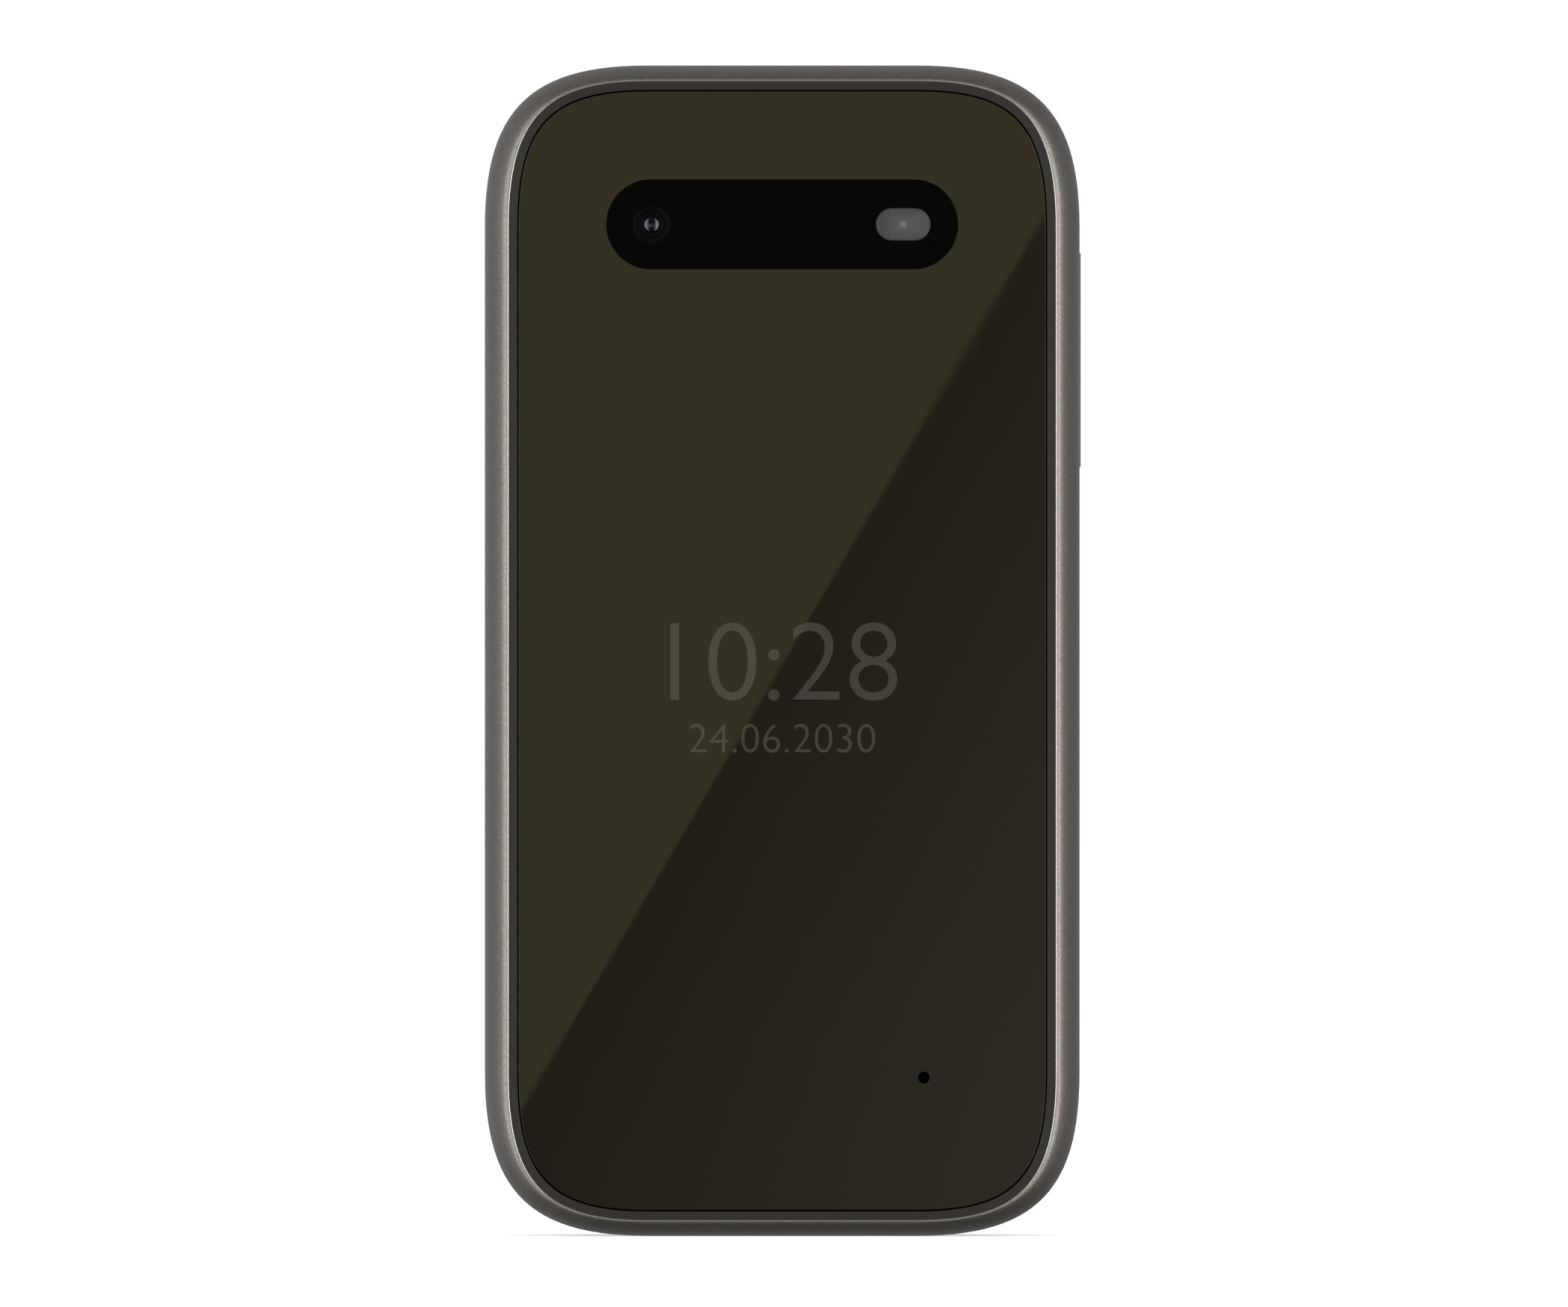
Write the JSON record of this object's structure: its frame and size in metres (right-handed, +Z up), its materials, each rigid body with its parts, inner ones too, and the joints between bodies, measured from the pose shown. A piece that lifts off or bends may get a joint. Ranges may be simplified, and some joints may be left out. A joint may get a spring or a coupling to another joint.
{
  "type": "flip phone",
  "caption": "Closed flip phone with a rounded metallic rim, smoked glossy lid panel, camera pill, side rocker, inner keypad and a hinge at its end.",
  "frame": {"origin": "middle of the bottom end on which the closed phone stands, midway between lid skin and battery cover", "axes": "+Z up along the phone to the hinge end, -Y out of the lid, +X to the side with the volume rocker"},
  "size_m": [0.0553, 0.0188, 0.1084],
  "materials": {
    "satin_paint": "satin warm-grey metallic paint on moulded polycarbonate",
    "ring_paint": "satin metallic ring",
    "smoked_panel": "polished smoked olive-brown panel",
    "black_window": "polished black camera window",
    "lens_glass": "coated camera lens",
    "flash_diffuser": "milky diffuser",
    "display_glass": "polished display glass",
    "black_moulding": "fine spark-eroded black moulding",
    "circuit_board": "solder-masked fibreglass board",
    "steel_mesh": "black woven mesh",
    "nickel_plate": "nickel-plated steel",
    "screw_steel": "blackened steel",
    "hinge_steel": "ground steel",
    "buffer_rubber": "soft black rubber",
    "flex_film": "amber polyimide film",
    "key_plastic": "satin black polycarbonate keys",
    "battery_wrap": "wrapped battery pack",
    "gold_contact": "gold-plated contact"
  },
  "bodies": {
    "base": {"base_front_housing": "satin_paint", "base_rear_chassis": "black_moulding", "hinge_cartridge": "hinge_steel", "hinge_sleeve": "hinge_steel", "base_flex": "flex_film", "dome_sheet": "flex_film", "main_board": "circuit_board", "shield_can": "nickel_plate", "battery": "battery_wrap", "battery_contacts": "gold_contact", "loudspeaker": "black_moulding", "card_holder": "nickel_plate", "vibration_motor": "nickel_plate", "port_connector": "nickel_plate", "headset_jack": "black_moulding", "cradle_contacts": "gold_contact", "base_microphone": "nickel_plate", "base_screws": "screw_steel"},
    "lid": {"lid_frame": "satin_paint", "lid_outer_panel": "smoked_panel", "camera_window": "black_window", "camera_lens": "lens_glass", "camera_module": "black_moulding", "flash_lens": "flash_diffuser", "flash_board": "circuit_board", "outer_display": "display_glass", "lid_inner_bezel": "black_moulding", "main_display_window": "display_glass", "main_display": "display_glass", "lid_board": "circuit_board", "earpiece": "black_moulding", "earpiece_mesh": "steel_mesh", "lid_magnet": "nickel_plate", "lid_screws": "screw_steel", "lid_bumpers": "buffer_rubber", "hinge_cam_head": "hinge_steel", "lid_flex": "flex_film"},
    "cover": {"battery_cover": "satin_paint", "speaker_mesh": "steel_mesh"},
    "rocker": {"volume_rocker": "satin_paint"},
    "gimbal": {"nav_gimbal": "screw_steel"},
    "ring": {"nav_ring": "ring_paint"},
    "select": {"select_key": "key_plastic"},
    "key_1": {"key_1": "key_plastic"},
    "key_2": {"key_2": "key_plastic"},
    "key_3": {"key_3": "key_plastic"},
    "key_4": {"key_4": "key_plastic"},
    "key_5": {"key_5": "key_plastic"},
    "key_6": {"key_6": "key_plastic"},
    "key_7": {"key_7": "key_plastic"},
    "key_8": {"key_8": "key_plastic"},
    "key_9": {"key_9": "key_plastic"},
    "key_star": {"key_star": "key_plastic"},
    "key_0": {"key_0": "key_plastic"},
    "key_hash": {"key_hash": "key_plastic"},
    "soft_key_left": {"soft_key_left": "key_plastic"},
    "soft_key_right": {"soft_key_right": "key_plastic"},
    "call_key": {"call_key": "key_plastic"},
    "end_key": {"end_key": "key_plastic"}
  },
  "joints": [
    {"name": "lid_hinge", "type": "hinge", "parent": "base", "child": "lid", "pos_m": [0, -0.0048, 0.1037], "axis": [-1, 0, 0], "range_deg": [0, 155]},
    {"name": "battery_cover_lift", "type": "slide", "parent": "base", "child": "cover", "axis": [0, 1, 0], "range_m": [0, 0.03]},
    {"name": "volume_rock", "type": "hinge", "parent": "base", "child": "rocker", "pos_m": [0.0266, 0.0013, 0.08115], "axis": [0, 1, 0], "range_deg": [-2, 2], "stiffness_Nm_per_rad": 0.4},
    {"name": "ring_rock_up_down", "type": "hinge", "parent": "base", "child": "gimbal", "pos_m": [0, 0.00075, 0.075], "axis": [1, 0, 0], "range_deg": [-1.2, 1.2], "stiffness_Nm_per_rad": 0.6},
    {"name": "ring_rock_left_right", "type": "hinge", "parent": "gimbal", "child": "ring", "pos_m": [0, 0.00075, 0.075], "axis": [0, 0, 1], "range_deg": [-1.2, 1.2], "stiffness_Nm_per_rad": 0.6},
    {"name": "select_press", "type": "slide", "parent": "base", "child": "select", "axis": [0, 1, 0], "range_m": [0, 0.00035], "stiffness_N_per_m": 4500},
    {"name": "key_1_press", "type": "slide", "parent": "base", "child": "key_1", "axis": [0, 1, 0], "range_m": [0, 0.00035], "stiffness_N_per_m": 4500},
    {"name": "key_2_press", "type": "slide", "parent": "base", "child": "key_2", "axis": [0, 1, 0], "range_m": [0, 0.00035], "stiffness_N_per_m": 4500},
    {"name": "key_3_press", "type": "slide", "parent": "base", "child": "key_3", "axis": [0, 1, 0], "range_m": [0, 0.00035], "stiffness_N_per_m": 4500},
    {"name": "key_4_press", "type": "slide", "parent": "base", "child": "key_4", "axis": [0, 1, 0], "range_m": [0, 0.00035], "stiffness_N_per_m": 4500},
    {"name": "key_5_press", "type": "slide", "parent": "base", "child": "key_5", "axis": [0, 1, 0], "range_m": [0, 0.00035], "stiffness_N_per_m": 4500},
    {"name": "key_6_press", "type": "slide", "parent": "base", "child": "key_6", "axis": [0, 1, 0], "range_m": [0, 0.00035], "stiffness_N_per_m": 4500},
    {"name": "key_7_press", "type": "slide", "parent": "base", "child": "key_7", "axis": [0, 1, 0], "range_m": [0, 0.00035], "stiffness_N_per_m": 4500},
    {"name": "key_8_press", "type": "slide", "parent": "base", "child": "key_8", "axis": [0, 1, 0], "range_m": [0, 0.00035], "stiffness_N_per_m": 4500},
    {"name": "key_9_press", "type": "slide", "parent": "base", "child": "key_9", "axis": [0, 1, 0], "range_m": [0, 0.00035], "stiffness_N_per_m": 4500},
    {"name": "key_star_press", "type": "slide", "parent": "base", "child": "key_star", "axis": [0, 1, 0], "range_m": [0, 0.00035], "stiffness_N_per_m": 4500},
    {"name": "key_0_press", "type": "slide", "parent": "base", "child": "key_0", "axis": [0, 1, 0], "range_m": [0, 0.00035], "stiffness_N_per_m": 4500},
    {"name": "key_hash_press", "type": "slide", "parent": "base", "child": "key_hash", "axis": [0, 1, 0], "range_m": [0, 0.00035], "stiffness_N_per_m": 4500},
    {"name": "soft_key_left_press", "type": "slide", "parent": "base", "child": "soft_key_left", "axis": [0, 1, 0], "range_m": [0, 0.00035], "stiffness_N_per_m": 4500},
    {"name": "soft_key_right_press", "type": "slide", "parent": "base", "child": "soft_key_right", "axis": [0, 1, 0], "range_m": [0, 0.00035], "stiffness_N_per_m": 4500},
    {"name": "call_key_press", "type": "slide", "parent": "base", "child": "call_key", "axis": [0, 1, 0], "range_m": [0, 0.00035], "stiffness_N_per_m": 4500},
    {"name": "end_key_press", "type": "slide", "parent": "base", "child": "end_key", "axis": [0, 1, 0], "range_m": [0, 0.00035], "stiffness_N_per_m": 4500}
  ]
}
